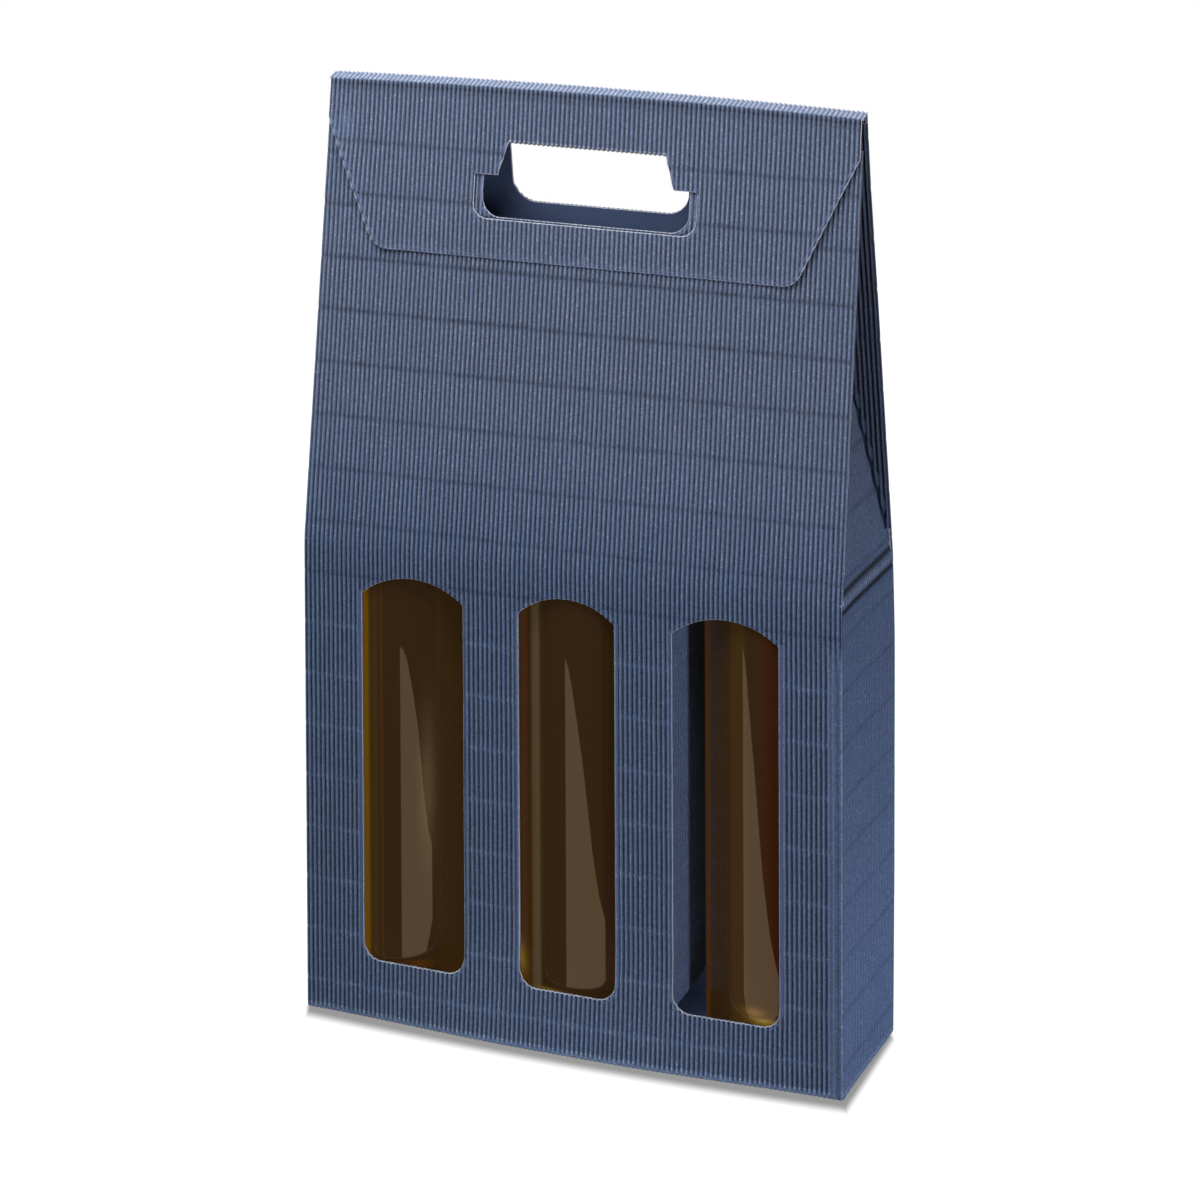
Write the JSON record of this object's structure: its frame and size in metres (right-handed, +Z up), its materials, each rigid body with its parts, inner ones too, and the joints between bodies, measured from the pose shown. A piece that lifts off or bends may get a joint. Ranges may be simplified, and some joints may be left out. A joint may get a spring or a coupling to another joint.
{
  "type": "three bottle wine carrier",
  "caption": "Gable-top carrier of dark blue corrugated board with arched windows over wine bottles, a hand opening and a flap that locks over the ridge.",
  "frame": {"origin": "middle of the underside, on the surface that the carrier stands on", "axes": "+Z up, -Y out of the front with the windows, +X to the carrier's right as seen from the front"},
  "size_m": [0.268, 0.08, 0.445],
  "materials": {
    "board": "matt dyed paper, fluted outside and smooth inside",
    "glass": "clear amber bottle glass",
    "bottle_cap": "satin black"
  },
  "bodies": {
    "carton": {"front_wall": "board", "back_wall": "board", "left_wall": "board", "right_wall": "board", "glue_flap": "board", "front_bottom_flap": "board", "back_bottom_flap": "board", "left_bottom_flap": "board", "right_bottom_flap": "board"},
    "front_shoulder": {"front_shoulder": "board"},
    "back_shoulder": {"back_shoulder": "board", "ridge_strip": "board"},
    "closure_flap": {"closure_flap": "board"},
    "locking_tongue": {"locking_tongue": "board"},
    "left_gusset": {"left_gusset": "board"},
    "right_gusset": {"right_gusset": "board"},
    "right_front_wing": {"right_front_wing": "board"},
    "right_back_wing": {"right_back_wing": "board"},
    "left_front_wing": {"left_front_wing": "board"},
    "left_back_wing": {"left_back_wing": "board"},
    "left_divider": {"left_divider": "board"},
    "right_divider": {"right_divider": "board"},
    "left_bottle": {"left_bottle": "glass", "left_bottle_cap": "bottle_cap"},
    "middle_bottle": {"middle_bottle": "glass", "middle_bottle_cap": "bottle_cap"},
    "right_bottle": {"right_bottle": "glass", "right_bottle_cap": "bottle_cap"}
  },
  "joints": [
    {"name": "flap_open", "type": "hinge", "parent": "back_shoulder", "child": "closure_flap", "pos_m": [0, -0.0047, 0.445], "axis": [-1, 0, 0], "range_deg": [0, 250]},
    {"name": "tongue_fold", "type": "hinge", "parent": "closure_flap", "child": "locking_tongue", "pos_m": [0, -0.00718, 0.42178], "axis": [-1, 0, 0], "range_deg": [0, 100], "deforming": ["locking_tongue"]},
    {"name": "front_shoulder_fold", "type": "hinge", "parent": "carton", "child": "front_shoulder", "pos_m": [0, -0.04, 0.229], "axis": [1, 0, 0], "range_deg": [0, 9]},
    {"name": "back_shoulder_fold", "type": "hinge", "parent": "carton", "child": "back_shoulder", "pos_m": [0, 0.04, 0.229], "axis": [-1, 0, 0], "range_deg": [0, 9]},
    {"name": "right_gusset_fold", "type": "hinge", "parent": "carton", "child": "right_gusset", "pos_m": [0.134, 0, 0.229], "axis": [0, 1, 0], "range_deg": [0, 4]},
    {"name": "left_gusset_fold", "type": "hinge", "parent": "carton", "child": "left_gusset", "pos_m": [-0.134, 0, 0.229], "axis": [0, -1, 0], "range_deg": [0, 4]},
    {"name": "right_front_wing_fold", "type": "hinge", "parent": "front_shoulder", "child": "right_front_wing", "pos_m": [0.1335, -0.02125, 0.32724], "axis": [0, -0.1697, -0.9855], "range_deg": [0, 50]},
    {"name": "left_front_wing_fold", "type": "hinge", "parent": "front_shoulder", "child": "left_front_wing", "pos_m": [-0.1335, -0.02125, 0.32724], "axis": [0, 0.1697, 0.9855], "range_deg": [0, 50]},
    {"name": "right_back_wing_fold", "type": "hinge", "parent": "back_shoulder", "child": "right_back_wing", "pos_m": [0.1335, 0.0221, 0.3274], "axis": [0, -0.1613, 0.9869], "range_deg": [0, 50]},
    {"name": "left_back_wing_fold", "type": "hinge", "parent": "back_shoulder", "child": "left_back_wing", "pos_m": [-0.1335, 0.0221, 0.3274], "axis": [0, 0.1613, -0.9869], "range_deg": [0, 50]},
    {"name": "right_divider_fold", "type": "hinge", "parent": "carton", "child": "right_divider", "pos_m": [0.0515, -0.0385, 0.1], "axis": [0, 0, 1], "range_deg": [-4, 12]},
    {"name": "left_divider_fold", "type": "hinge", "parent": "carton", "child": "left_divider", "pos_m": [-0.0515, -0.0385, 0.1], "axis": [0, 0, -1], "range_deg": [-4, 12]},
    {"name": "left_bottle_lift", "type": "slide", "parent": "carton", "child": "left_bottle", "axis": [0, 0, 1], "range_m": [0, 0.02]},
    {"name": "middle_bottle_lift", "type": "slide", "parent": "carton", "child": "middle_bottle", "axis": [0, 0, 1], "range_m": [0, 0.02]},
    {"name": "right_bottle_lift", "type": "slide", "parent": "carton", "child": "right_bottle", "axis": [0, 0, 1], "range_m": [0, 0.02]}
  ],
  "couplings": [
    {"joint": "front_shoulder_fold", "follows": "flap_open", "ratio": 0.034},
    {"joint": "back_shoulder_fold", "follows": "flap_open", "ratio": 0.034},
    {"joint": "right_gusset_fold", "follows": "flap_open", "ratio": 0.0144},
    {"joint": "left_gusset_fold", "follows": "flap_open", "ratio": 0.0144},
    {"joint": "right_front_wing_fold", "follows": "flap_open", "ratio": 0.192},
    {"joint": "left_front_wing_fold", "follows": "flap_open", "ratio": 0.192},
    {"joint": "right_back_wing_fold", "follows": "flap_open", "ratio": 0.192},
    {"joint": "left_back_wing_fold", "follows": "flap_open", "ratio": 0.192}
  ]
}
